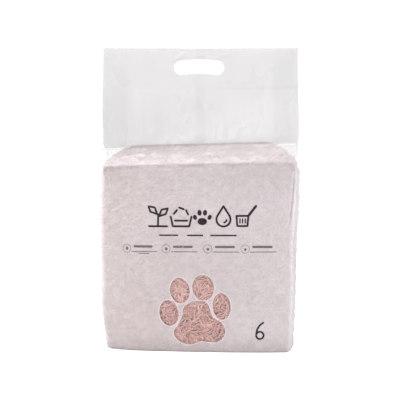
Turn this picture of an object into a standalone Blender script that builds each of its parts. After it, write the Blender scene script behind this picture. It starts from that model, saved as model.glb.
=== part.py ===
# Vacuum-packed block of cat litter in a side-gusset film bag, with a die-cut handle slot in its header.
#
# Metres, +Z up. X runs across the front, -Y is the front, and the origin is on the ground under the middle.
# The film is one folded tube. Round the litter its side folds are spread open into walls, over the roof
# they fold inwards, and in the header they lie flat between the front and the back.

import math

import bmesh
import bpy

# Film
FILM = 0.00015                    # thickness of one layer
LAYER_GAP = 0.0003                # gap between two layers that lie on each other
GUSSET = 0.031                    # depth of a side fold, half the width of a side wall
LAP_WIDTH = 0.012                 # seam down the middle of the back
LAP_RISE = 0.0003                 # how far the seam stands out

# Filled body
EAVE = 0.2275                     # height of the upright walls
RIDGE = 0.2520                    # height where the roof's slopes meet
BODY_HALF_WIDTH = 0.1185          # middle to the crease of a side wall, at the top
FOOT_NARROWING = 0.0060           # how much each side draws in at the foot
SIDE_BULGE = 0.0035               # how far a side wall swells past its creases
EDGE_HALF_DEPTH = 0.0310          # middle to the crease, front to back
MIDDLE_HALF_DEPTH = 0.0470        # the same at the fullest place of the front
FOOT_HALF_DEPTH = 0.0400          # the same at the foot
EAVE_HALF_DEPTH = 0.0430          # the same at the eave
BULGE_POWER = 2.6                 # higher is flatter in the middle of a panel
CREASE = 0.0030                   # rounding of the four upright edges
FOOT_ROUND = 0.0060               # rounding of the bottom edge
EAVE_ROUND = 0.0040               # rounding between the walls and the roof
RIGHT_RISE = 0.020                # slope of the roof, which is fuller on its right

# Header
TOP = 0.3733                      # height of the cut top edge
HEADER_HALF_WIDTH = 0.1213        # half the flat width of the film tube
TOP_SEAL = 0.0080                 # width of the seal along the top edge
TWIST_END = 0.3200                # height where the header has turned all the way
TWIST = math.radians(5.0)         # turn of the header against the body

# Handle slot
SLOT_LENGTH = 0.0633
SLOT_HEIGHT = 0.0206
SLOT_BOW = 0.0014                 # how far the slot's middle arches above its ends
SLOT_MIDDLE = (-0.0011, 0.3497)   # X and Z of its middle
SLOT_REACH = 0.020                # how far the cutter reaches past the header each way

# Litter
LITTER_TOP = 0.94                 # how far up the roof the litter reaches, 1 at the ridge

# Resolution
PANEL_STEPS = 12                  # even steps across the front
LEAF_STEPS = 3                    # steps across each half of a side wall
SLOT_STEPS = 8                    # steps round each end and along each side of the slot


def blend(start, end, share):
    return start + (end - start) * share


def ease(share):
    share = min(max(share, 0.0), 1.0)
    return share * share * (3 - 2 * share)


def half_width(z):
    """Middle to the crease of a side wall at a height."""
    return BODY_HALF_WIDTH - FOOT_NARROWING * (1 - min(z / EAVE, 1)) ** 3


def middle_half_depth(z):
    """Half the depth at the middle of the front: fullest a little under half height."""
    share = min(z / EAVE, 1)
    straight = blend(FOOT_HALF_DEPTH, EAVE_HALF_DEPTH, share)
    fullness = MIDDLE_HALF_DEPTH - (FOOT_HALF_DEPTH + EAVE_HALF_DEPTH) / 2
    return straight + fullness * math.sin(math.pi * share) ** 0.7


def panel_places(lap):
    """Places across a panel from -1 to 1, each with how far the seam lifts it."""
    places = [(2 * i / PANEL_STEPS - 1, 0.0) for i in range(PANEL_STEPS + 1)]
    if not lap:
        return places
    edge = LAP_WIDTH / 2 / BODY_HALF_WIDTH
    foot = edge * 1.06
    seam = [(-foot, 0.0), (-edge, LAP_RISE), (edge, LAP_RISE), (foot, 0.0)]
    return [p for p in places if p[0] < -foot] + seam + [p for p in places if p[0] > foot]


def open_section(z, lap):
    """Outline of the filled body at a height, anticlockwise from the left end of the front."""
    wide = half_width(z)
    middle = middle_half_depth(z)
    panel = wide - CREASE

    def depth(place):
        return EDGE_HALF_DEPTH + (middle - EDGE_HALF_DEPTH) * (1 - abs(place) ** BULGE_POWER)

    front = [(place * panel, -depth(place)) for place, rise in panel_places(False)]
    back = [(place * panel, depth(place) + rise) for place, rise in reversed(panel_places(lap))]
    reach = EDGE_HALF_DEPTH - CREASE
    fold = FILM
    leaf = [blend(-reach, -fold, i / LEAF_STEPS) for i in range(LEAF_STEPS + 1)]
    wall = leaf + [-y for y in reversed(leaf)]
    right = [(wide + SIDE_BULGE * (1 - (y / reach) ** 2), y) for y in wall]
    left = [(-x, -y) for x, y in right]
    return front + right + back + left


def flat_section(lap):
    """Outline of the header: front, right fold, back and left fold, lying on each other."""
    inner = LAYER_GAP / 2
    outer = inner + 2 * FILM + LAYER_GAP
    wide = HEADER_HALF_WIDTH
    front = [(place * wide, -outer) for place, rise in panel_places(False)]
    back = [(place * wide, outer + rise) for place, rise in reversed(panel_places(lap))]
    leaf = [wide - GUSSET * i / LEAF_STEPS for i in range(LEAF_STEPS + 1)]
    right = [(x, -inner) for x in leaf] + [(x, inner) for x in reversed(leaf)]
    left = [(-x, -y) for x, y in right]
    return front + right + back + left


def roof_section(share, lap):
    """Outline over the roof: the front and back lean together, and each side wall tucks in between them.

    A side wall lies against the front and back as far as it has been tucked in, and closes the end of the
    roof with the rest of its width.
    """
    pairs = zip(open_section(EAVE, lap), flat_section(lap))
    outline = [(blend(a[0], b[0], share), blend(a[1], b[1], share)) for a, b in pairs]
    front_count = PANEL_STEPS + 1
    edge_x, edge_y = outline[front_count]
    inner = LAYER_GAP / 2
    tucked = GUSSET * share
    leaf = []
    for i in range(LEAF_STEPS + 1):
        along = GUSSET * i / LEAF_STEPS
        if along <= tucked:
            leaf.append((edge_x - along, edge_y))
        else:
            rest = (along - tucked) / (GUSSET - tucked)
            swell = SIDE_BULGE * (1 - share) * (1 - (1 - rest) ** 2)
            leaf.append((edge_x - tucked + swell, blend(edge_y, -inner, rest)))
    right = leaf + [(x, -y) for x, y in reversed(leaf)]
    left = [(-x, -y) for x, y in right]
    back = outline[front_count + len(right):-len(left)]
    return outline[:front_count] + right + back + left


def inset(outline, distance):
    """Move every edge of an outline inwards by a distance, keeping its corners mitred."""
    moved = []
    count = len(outline)
    for i, (x, y) in enumerate(outline):
        before = outline[i - 1]
        after = outline[(i + 1) % count]
        first = math.atan2(y - before[1], x - before[0])
        second = math.atan2(after[1] - y, after[0] - x)
        normal_x = -math.sin(first) - math.sin(second)
        normal_y = math.cos(first) + math.cos(second)
        scale = distance / (1 + math.cos(first - second))
        moved.append((x + normal_x * scale, y + normal_y * scale))
    return moved


def place_outline(outline, z):
    """Lift an outline to its height, sloped where the body is fuller and turned in the header."""
    share = z / RIDGE if z < RIDGE else (TOP - z) / (TOP - RIDGE)
    slope = RIGHT_RISE * ease(share)
    angle = TWIST * ease((z - RIDGE) / (TWIST_END - RIDGE))
    cosine = math.cos(angle)
    sine = math.sin(angle)
    return [(x * cosine - y * sine, x * sine + y * cosine, z + slope * x) for x, y in outline]


def wall_heights():
    """Heights of the upright walls, with how far each outline draws in for the rounded edges."""
    foot = [(0.0, FOOT_ROUND), (FOOT_ROUND * 0.13, FOOT_ROUND * 0.5), (FOOT_ROUND * 0.5, FOOT_ROUND * 0.13)]
    walls = [(blend(FOOT_ROUND, EAVE - EAVE_ROUND, share), 0.0) for share in (0, 0.12, 0.3, 0.5, 0.7, 0.88, 1)]
    return foot + walls + [(EAVE - EAVE_ROUND * 0.4, EAVE_ROUND * 0.08)]


def film_shell(inward, lap, top):
    """Rings of the film's outer face, or of its inner face where inward is the film's thickness."""
    rings = []
    for z, round_in in wall_heights():
        lift = inward * max(1 - z / FOOT_ROUND, 0)
        rings.append(place_outline(inset(open_section(z, lap), round_in + inward), z + lift))
    for share in (0.04, 1 / 3, 2 / 3, 1.0):
        rings.append(place_outline(inset(roof_section(share, lap), inward), blend(EAVE, RIDGE, share) - inward))
    for share in (0.12, 0.3, 0.5, 0.75, 1.0):
        rings.append(place_outline(inset(flat_section(lap), inward), blend(RIDGE, top, share)))
    return rings


def litter_rings():
    """Rings of the pressed pellets: upright walls under a hipped roof."""
    clear = FILM + LAYER_GAP
    rings = []
    for z, round_in in wall_heights():
        lift = clear * max(1 - z / FOOT_ROUND, 0)
        rings.append(place_outline(inset(open_section(z, False), round_in + clear), z + lift))
    for share in (0.04, 0.35, 0.7, LITTER_TOP):
        outline = inset(open_section(EAVE, False), clear)
        hip = 1 - GUSSET / BODY_HALF_WIDTH * share
        outline = [(x * hip, y * (1 - share)) for x, y in outline]
        rings.append(place_outline(outline, blend(EAVE, RIDGE, share) - clear))
    return rings


def add_loft(bm, rings):
    """Skin a stack of rings and cap both ends."""
    loops = [[bm.verts.new(point) for point in ring] for ring in rings]
    for low, high in zip(loops, loops[1:]):
        for i in range(len(low)):
            bm.faces.new((low[i - 1], low[i], high[i], high[i - 1]))
    bm.faces.new(list(reversed(loops[0])))
    bm.faces.new(loops[-1])


def make_object(name, bm, material):
    mesh = bpy.data.meshes.new(name)
    bm.to_mesh(mesh)
    bm.free()
    mesh.shade_smooth()
    mesh.set_sharp_from_angle(angle=math.radians(35))
    obj = bpy.data.objects.new(name, mesh)
    bpy.context.collection.objects.link(obj)
    if material:
        mesh.materials.append(material)
    return obj


def make_material(name, colour, roughness, alpha=1.0):
    material = bpy.data.materials.new(name)
    material.use_nodes = True
    shader = material.node_tree.nodes["Principled BSDF"]
    shader.inputs["Base Color"].default_value = (*colour, 1)
    shader.inputs["Roughness"].default_value = roughness
    shader.inputs["Metallic"].default_value = 0.0
    shader.inputs["Alpha"].default_value = alpha
    return material


def slot_outline():
    """Outline of the handle slot: a round-ended bar whose middle is arched upwards."""
    radius = (SLOT_HEIGHT - SLOT_BOW) / 2
    reach = SLOT_LENGTH / 2 - radius

    def bow(x):
        return SLOT_BOW * (0.5 - (x / reach) ** 2)

    sides = [blend(-reach, reach, i / SLOT_STEPS) for i in range(SLOT_STEPS + 1)]
    turns = [math.pi * i / SLOT_STEPS for i in range(1, SLOT_STEPS)]
    lower = [(x, bow(x) - radius) for x in sides]
    right = [(reach + radius * math.sin(a), bow(reach) - radius * math.cos(a)) for a in turns]
    upper = [(x, bow(x) + radius) for x in reversed(sides)]
    left = [(-reach - radius * math.sin(a), bow(reach) + radius * math.cos(a)) for a in turns]
    return lower + right + upper + left


def make_slot_cutter():
    middle_x, middle_z = SLOT_MIDDLE
    bm = bmesh.new()
    front = [bm.verts.new((x + middle_x, -SLOT_REACH, z + middle_z)) for x, z in slot_outline()]
    face = bm.faces.new(front)
    grown = bmesh.ops.extrude_face_region(bm, geom=[face])
    back = [v for v in grown["geom"] if isinstance(v, bmesh.types.BMVert)]
    bmesh.ops.translate(bm, verts=back, vec=(0, 2 * SLOT_REACH, 0))
    bmesh.ops.recalc_face_normals(bm, faces=bm.faces)
    cutter = make_object("slot_cutter", bm, None)
    cutter.rotation_euler.z = TWIST
    cutter.hide_render = True
    cutter.display_type = "WIRE"
    return cutter


def make_film():
    """One film body: its hollow opens into the handle slot, between the header's two faces."""
    bm = bmesh.new()
    add_loft(bm, film_shell(FILM, False, TOP - TOP_SEAL))
    bmesh.ops.reverse_faces(bm, faces=bm.faces)
    add_loft(bm, film_shell(0.0, True, TOP))
    film = make_object("bag_film", bm, make_material("milky_film", (0.72, 0.63, 0.64), 0.35))
    cut = film.modifiers.new("handle_slot", "BOOLEAN")
    cut.operation = "DIFFERENCE"
    cut.solver = "EXACT"
    cut.object = make_slot_cutter()
    return film


def make_litter():
    bm = bmesh.new()
    add_loft(bm, litter_rings())
    return make_object("litter_block", bm, make_material("litter", (0.60, 0.33, 0.29), 0.85))


def main():
    for obj in list(bpy.data.objects):
        bpy.data.objects.remove(obj)
    make_litter()
    make_film()


main()
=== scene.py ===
import math

import bmesh
import bpy
import numpy as np
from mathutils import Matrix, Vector
from mathutils.bvhtree import BVHTree


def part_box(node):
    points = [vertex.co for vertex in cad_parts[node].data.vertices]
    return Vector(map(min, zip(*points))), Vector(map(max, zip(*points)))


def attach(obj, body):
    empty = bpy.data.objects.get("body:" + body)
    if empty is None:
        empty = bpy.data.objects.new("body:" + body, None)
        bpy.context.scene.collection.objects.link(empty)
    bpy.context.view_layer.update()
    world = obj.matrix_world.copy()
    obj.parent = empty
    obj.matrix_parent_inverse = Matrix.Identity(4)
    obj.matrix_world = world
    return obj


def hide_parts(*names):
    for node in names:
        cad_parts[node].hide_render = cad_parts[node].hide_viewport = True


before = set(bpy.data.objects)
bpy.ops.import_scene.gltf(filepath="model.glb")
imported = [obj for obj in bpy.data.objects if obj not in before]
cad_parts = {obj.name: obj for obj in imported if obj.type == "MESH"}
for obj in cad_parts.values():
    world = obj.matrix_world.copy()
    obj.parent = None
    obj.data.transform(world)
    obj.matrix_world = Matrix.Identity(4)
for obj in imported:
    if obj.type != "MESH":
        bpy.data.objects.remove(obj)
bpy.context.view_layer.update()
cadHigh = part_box("bag_film")[1]
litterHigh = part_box("litter_block")[1]

# Metres, +Z up. The front faces -Y, and the pack stands on the ground under its middle.

body = {
    "eave": litterHigh.z * 0.903,      # height of the upright walls
    "ridge": litterHigh.z,             # height where the roof's slopes meet
    "creaseX": cadHigh.x - 0.0035,     # middle to the upright crease of a side wall
    "edgeY": 0.0310,                   # middle to the same crease, front to back
    "footY": 0.0400,                   # half the depth at the middle of the foot
    "fullY": 0.0470,                   # half the depth where the front is fullest
    "eaveY": 0.0430,                   # half the depth at the middle of the eave
    "bulgePower": 2.6,                 # higher is flatter in the middle of a panel
    "wallSwell": 0.0035,               # how far a side wall swells past its creases
    "shoulder": 0.25,                  # share of that swell left at the eave
    "footNarrowing": 0.0060,
    "footRound": 0.0034,
    "rounding": 6,                     # passes that soften the corners between panels
    "rightRise": 0.020,                # slope of the roof, fuller on its right
    "rowStep": 0.0022,
}

header = {
    "top": cadHigh.z,
    "halfWidth": 0.1213,               # half the flat width of the film tube
    "gusset": 0.0310,                  # depth of a side fold
    "outerY": 0.00075,                 # middle to the front film
    "innerY": 0.00015,                 # middle to the folded film between
    "twist": math.radians(5),          # turn against the body
    "twistEnd": 0.320,                 # height where the turn is complete
    "sealHeight": 0.3233,              # seal under the slot
    "sealHalf": 0.0030,
    "topSeal": 0.0070,
    "leafSteps": 24,
    "middleSteps": 84,
    "rowStep": 0.0022,
    "lapHalf": 0.0060,                 # half the width of the seam down the back
    "lapRise": 0.00035,
}

slot = {
    "length": 0.0633,
    "height": 0.0206,
    "bow": 0.0014,                     # arch of the slot's middle above its ends
    "x": -0.0011,
    "z": 0.3497,
    "steps": 14,
}

paw = {
    "toes": [                          # middle x and z, half width, half height, lean in degrees
        (-0.0329, 0.0475, 0.0116, 0.0156, 8),
        (-0.0195, 0.0749, 0.0119, 0.0154, 8),
        (0.0087, 0.0785, 0.0130, 0.0152, 9),
        (0.0307, 0.0561, 0.0107, 0.0158, 5),
    ],
    "pad": [                           # points in order round the pad
        (0.0011, 0.0624), (0.0130, 0.0600), (0.0173, 0.0495), (0.0205, 0.0424), (0.0295, 0.0372),
        (0.0347, 0.0285), (0.0330, 0.0192), (0.0247, 0.0131), (0.0145, 0.0130), (0.0050, 0.0137),
        (-0.0040, 0.0103), (-0.0135, 0.0101), (-0.0235, 0.0157), (-0.0274, 0.0245), (-0.0210, 0.0347),
        (-0.0168, 0.0446), (-0.0148, 0.0545), (-0.0075, 0.0605),
    ],
}

uvScale = 0.62                         # metres of film that one side of the UV square holds
uvMargin = 0.01                        # where the foot starts in that square
undersideUv = (0.3, 0.85)              # middle of the underside in it
topUv = (0.75, 0.85)                   # middle of the cut edge at the top
farAway = 0.05                         # a distance that is past every edge, in metres


def ease(share):
    share = np.clip(share, 0.0, 1.0)
    return share * share * (3 - 2 * share)


def mix(start, end, share):
    return start + (end - start) * share


def bell(distance, width):
    return np.exp(-(distance / width) ** 2)


def noise(x, y, seed):
    # smooth value noise from -1 to 1, one random number at each whole x and y
    table = np.random.default_rng(seed).uniform(-1, 1, (97, 97))
    column = np.floor(x).astype(int)
    row = np.floor(y).astype(int)
    acrossShare = ease(x - column)
    upShare = ease(y - row)
    left, right = column % 97, (column + 1) % 97
    low, high = row % 97, (row + 1) % 97
    lower = mix(table[left, low], table[right, low], acrossShare)
    upper = mix(table[left, high], table[right, high], acrossShare)
    return mix(lower, upper, upShare)


def folds(across, up, angle, length, width, seed):
    # sharp little ridges that run at an angle, from 0 to 1
    along = across * math.cos(angle) + up * math.sin(angle)
    side = up * math.cos(angle) - across * math.sin(angle)
    return (1 - np.abs(noise(along / length, side / width, seed))) ** 4


def crease(across, up, start, end, width):
    # 1 along a straight line between two points, fading to its sides and its ends
    line = np.array(end) - np.array(start)
    length = np.hypot(*line)
    along = ((across - start[0]) * line[0] + (up - start[1]) * line[1]) / length
    side = ((across - start[0]) * line[1] - (up - start[1]) * line[0]) / length
    fade = ease(along / length * 4) * ease((1 - along / length) * 4)
    return bell(side, width) * fade


# ---- shape of the filled film ----


def sideX(z, side):
    # middle to the crease at a height; the right side (+1) is fuller at its top
    share = min(z / body["eave"], 1)
    wide = body["creaseX"] - body["footNarrowing"] * (1 - share) ** 3
    if side > 0:
        wide += 0.0017 * ease((z - 0.14) / 0.06) - 0.0016 - 0.0012 * bell(z - 0.122, 0.035)
    else:
        wide += 0.0012 * bell(z - 0.058, 0.02) - 0.0016 * ease((0.03 - z) / 0.02)
        wide -= 0.0021 * ease((z - 0.19) / 0.035)
    return float(wide)


def middleY(z):
    share = min(z / body["eave"], 1)
    straight = mix(body["footY"], body["eaveY"], share)
    fullness = body["fullY"] - (body["footY"] + body["eaveY"]) / 2
    return straight + fullness * math.sin(math.pi * share) ** 0.7


def panelY(places, z):
    return mix(body["edgeY"], middleY(z), 1 - np.abs(places) ** body["bulgePower"])


def filmRing(x, y, right, left):
    # front, right wall, back and left wall in one loop; a wall runs in to its fold and out again
    (rightX, rightY), (leftX, leftY) = right, left
    ringX = np.concatenate([x, rightX, rightX[::-1], x[::-1], -leftX, -leftX[::-1]])
    ringY = np.concatenate([-y, rightY, -rightY[::-1], y[::-1], -leftY, leftY[::-1]])
    return ringX, ringY


def bodyRing(z, roundIn, places, leaf):
    right, left = sideX(z, 1), sideX(z, -1)
    x = places * (right + left) / 2 + (right - left) / 2
    wallY = leaf * body["edgeY"] / header["gusset"] - body["edgeY"]
    swell = body["wallSwell"] * (1 - (wallY / body["edgeY"]) ** 2)
    swell = swell * mix(body["shoulder"], 1, float(ease((body["eave"] - z) / 0.014)))
    ringX, ringY = filmRing(x, panelY(places, z), (right + swell, wallY), (left + swell, wallY))
    ringX = ringX * (1 - roundIn / body["creaseX"])
    ringY = ringY * (1 - roundIn / body["fullY"])
    return rounded(ringX), rounded(ringY)


def rounded(values):
    for _ in range(body["rounding"]):
        values = (np.roll(values, 1) + 2 * values + np.roll(values, -1)) / 4
    return values


def roofRing(share, places, leaf):
    # front and back lean together; each side wall tucks in, and its rest closes the end of the roof
    eave = body["eave"]
    tucked = header["gusset"] * share
    half = header["halfWidth"]
    widened = float(ease(share * 2.2))
    y = mix(panelY(places, eave), header["outerY"], share)
    edgeY = mix(body["edgeY"], header["outerY"], share)
    layer = header["outerY"] - header["innerY"]
    parts = []
    for side in (1, -1):
        edgeX = mix(sideX(eave, side), half, widened)
        rest = np.clip((leaf - tucked) / max(header["gusset"] - tucked, 1e-6), 0, 1)
        swell = body["wallSwell"] * body["shoulder"] * (1 - share) * (1 - (1 - rest) ** 2)
        leafX = np.where(leaf <= tucked, edgeX - leaf, edgeX - tucked + swell)
        leafY = np.where(leaf <= tucked, layer - edgeY, mix(layer - edgeY, -header["innerY"], rest))
        parts.append((leafX, leafY))
    shift = (sideX(eave, 1) - sideX(eave, -1)) / 2 * (1 - widened)
    x = places * mix((sideX(eave, 1) + sideX(eave, -1)) / 2, half, widened) + shift
    ringX, ringY = filmRing(x, y, *parts)
    soft = (1 - share) ** 3
    return mix(ringX, rounded(ringX), soft), mix(ringY, rounded(ringY), soft)


def headerRing(z, places, leaf):
    half = header["halfWidth"]
    sealed = max(ease(1.6 - abs(z - header["sealHeight"]) / header["sealHalf"] * 1.1),
                 ease((z - header["top"]) / header["topSeal"] * 2 + 2.2))
    flat = mix(1.0, 0.6, float(sealed))
    outer = np.full(len(places), header["outerY"] * flat)
    wall = half - leaf, np.full(len(leaf), -header["innerY"] * flat)
    return filmRing(places * half, outer, wall, wall)


def smoothLoop(points, steps):
    # a closed curve through the points
    points = np.array(points)
    before, after, later = np.roll(points, 1, 0), np.roll(points, -1, 0), np.roll(points, -2, 0)
    curve = []
    for t in np.arange(steps) / steps:
        square = 2 * before - 5 * points + 4 * after - later
        cube = 3 * points - before - 3 * after + later
        curve.append(0.5 * (2 * points + (after - before) * t + square * t ** 2 + cube * t ** 3))
    return np.stack(curve, 1).reshape(-1, 2)


def loopDistance(loop, x, z):
    # distance to a closed loop, less than 0 inside
    nearest = np.full(x.shape, 1.0)
    inside = np.zeros(x.shape, bool)
    for (ax, az), (bx, bz) in zip(loop, np.roll(loop, -1, 0)):
        dx, dz = bx - ax, bz - az
        share = np.clip(((x - ax) * dx + (z - az) * dz) / (dx * dx + dz * dz), 0, 1)
        nearest = np.minimum(nearest, np.hypot(x - ax - share * dx, z - az - share * dz))
        if dz:
            inside ^= ((az > z) != (bz > z)) & (x < ax + dx * (z - az) / dz)
    return np.where(inside, -nearest, nearest)


def pawDistance(x, z):
    x, z = np.broadcast_arrays(x, z)
    nearest = loopDistance(smoothLoop(paw["pad"], 5), x, z)
    for toeX, toeZ, wide, tall, lean in paw["toes"]:
        turn = math.radians(lean)
        a = (x - toeX) * math.cos(turn) + (z - toeZ) * math.sin(turn)
        b = (z - toeZ) * math.cos(turn) - (x - toeX) * math.sin(turn)
        reach = np.hypot(a / wide, b / tall)
        slope = np.hypot(a / wide ** 2, b / tall ** 2)
        nearest = np.minimum(nearest, reach * (reach - 1) / np.maximum(slope, 1e-6))
    return nearest


def filmColumns():
    # the front's outer columns lie over the folded side wall's own, so that the top can be closed
    half, gusset = header["halfWidth"], header["gusset"]
    leaf = np.linspace(0, gusset, header["leafSteps"] + 1)
    outer = 1 - leaf / half
    lap = np.array([header["lapHalf"], header["lapHalf"] + 0.0003]) / half
    middle = np.linspace(-outer[-1], outer[-1], header["middleSteps"] + 1)[1:-1]
    middle = middle[np.abs(np.abs(middle) - lap.mean()) > 0.008]
    places = np.sort(np.concatenate([-outer, middle, -lap, lap, outer]))
    return places, leaf


def filmRows():
    # each row: kind, height or share up the roof, how far it draws in
    eave, ridge, top = body["eave"], body["ridge"], header["top"]
    foot = body["footRound"]
    rows = []
    for turn in np.linspace(0, 0.5 * math.pi, 6)[:-1]:
        rows.append(("body", foot * (1 - math.cos(turn)), foot * (1 - math.sin(turn))))
    count = round((eave - foot) / body["rowStep"])
    rows += [("body", z, 0.0) for z in np.linspace(foot, eave - 0.0012, count)]
    steps = header["leafSteps"]
    rows += [("roof", i / steps, 0.0) for i in range(1, steps + 1)]
    count = round((top - ridge) / header["rowStep"])
    rows += [("header", z, 0.0) for z in np.linspace(ridge, top, count + 1)[1:]]
    return rows


def filmGrid():
    places, leaf = filmColumns()
    half, gusset = header["halfWidth"], header["gusset"]
    eave, ridge = body["eave"], body["ridge"]
    slope = math.hypot(ridge - eave, body["eaveY"])
    across = np.concatenate([places * half, half + leaf, half + 2 * gusset - leaf[::-1],
                             2 * half + 2 * gusset - places[::-1] * half,
                             3 * half + 2 * gusset + leaf, 3 * half + 4 * gusset - leaf[::-1]])
    grid = {"x": [], "y": [], "z": [], "up": [], "share": [], "backed": [], "inset": []}
    n, m = len(places), len(leaf)
    panel = np.repeat([0, 1, 2, 3], [n, 2 * m, n, 2 * m])   # front, right wall, back, left wall
    folded = np.tile(np.concatenate([np.zeros(n), leaf, leaf[::-1]]), 2)
    for kind, level, roundIn in filmRows():
        if kind == "body":
            x, y = bodyRing(level, roundIn, places, leaf)
            z, up, share = level, level, 0.0
            edge = np.where(x > 0, sideX(eave, 1), sideX(eave, -1)) + 0.0015
            edge = edge + 0.004 * ease((eave - level) / 0.006)
            backed = np.where(panel % 2 == 0, edge - np.abs(x), 0.02)
        elif kind == "roof":
            x, y = roofRing(level, places, leaf)
            z = mix(eave, ridge, level) + 0.0016 * math.sin(math.pi * level)
            up, share = eave + slope * level, level
            widened = float(ease(level * 2.2))
            rightHip = mix(sideX(eave, 1), half, widened) - gusset * level + 0.0014 * (1 - level)
            leftHip = mix(sideX(eave, -1) + 0.0014, half - gusset, level ** 1.2)
            hip = np.where(x > 0, rightHip, leftHip)
            backed = np.where(panel % 2 == 0, hip - np.abs(x), folded - gusset * level - 0.0025)
        else:
            x, y = headerRing(level, places, leaf)
            z, up, share = level, eave + slope + level - ridge, 1.0
            backed = np.full(len(x), ridge - level)
        inset = np.where(x > 0, sideX(z, 1), sideX(z, -1)) - np.abs(x) if share == 0 else farAway
        lap = (panel == 2) & (np.abs(x) <= header["lapHalf"] * 1.02)
        y = y + header["lapRise"] * lap
        for name, value in zip(grid, (x, y, z, up, share, backed, inset)):
            grid[name].append(np.broadcast_to(value, x.shape).astype(float))
    grid = {name: np.array(rows) for name, rows in grid.items()}
    for name, value in (("across", across), ("panel", panel), ("folded", folded)):
        grid[name] = np.broadcast_to(value, grid["x"].shape)
    grid["counts"] = (n, m)
    return grid


crumples = {                           # families of small folds: angle, length and width
    6: (0.25, 0.020, 0.0070),          # side walls
    7: (-0.50, 0.016, 0.0060),
    8: (0.90, 0.016, 0.0075),          # roof
    9: (2.10, 0.020, 0.0080),
    10: (0.15, 0.030, 0.0090),
    11: (0.60, 0.012, 0.0060),         # ends of the roof
    15: (1.20, 0.010, 0.0050),         # upper corners
    17: (0.45, 0.016, 0.0062),         # everywhere
    18: (2.30, 0.014, 0.0066),
}

creases = {                            # start, end, width and rise of each long crease
    "front": [
        ((-0.118, 0.163), (-0.088, 0.180), 0.0014, 0.00045),
        ((-0.119, 0.176), (-0.080, 0.197), 0.0016, 0.00040),
        ((-0.117, 0.148), (-0.095, 0.160), 0.0014, 0.00035),
        ((0.060, 0.222), (0.118, 0.196), 0.0018, 0.00040),
        ((0.086, 0.212), (0.112, 0.172), 0.0016, -0.00030),
        ((-0.070, 0.220), (-0.020, 0.206), 0.0020, 0.00035),
        ((0.020, 0.219), (0.052, 0.210), 0.0016, 0.00035),
        ((0.050, 0.012), (0.112, 0.034), 0.0020, 0.00035),
        ((-0.112, 0.030), (-0.070, 0.010), 0.0020, 0.00035),
    ],
    "header": [
        ((-0.036, 0.3560), (-0.016, 0.3700), 0.0016, 0.0007),
        ((-0.030, 0.3620), (-0.004, 0.3725), 0.0018, 0.0006),
        ((-0.014, 0.3615), (0.004, 0.3660), 0.0013, 0.0005),
        ((0.020, 0.3610), (0.042, 0.3690), 0.0016, 0.0005),
        ((-0.052, 0.300), (-0.020, 0.268), 0.0022, 0.0005),
        ((0.035, 0.262), (0.080, 0.292), 0.0022, 0.0005),
        ((-0.080, 0.330), (-0.066, 0.256), 0.0024, 0.0005),
        ((0.006, 0.325), (0.012, 0.258), 0.0020, 0.0004),
    ],
    "dark": [                          # start and end only
        ((-0.119, 0.172), (-0.098, 0.186)), ((-0.119, 0.163), (-0.100, 0.174)),
        ((-0.110, 0.152), (-0.092, 0.160)), ((0.089, 0.206), (0.104, 0.190)),
    ],
}


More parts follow.
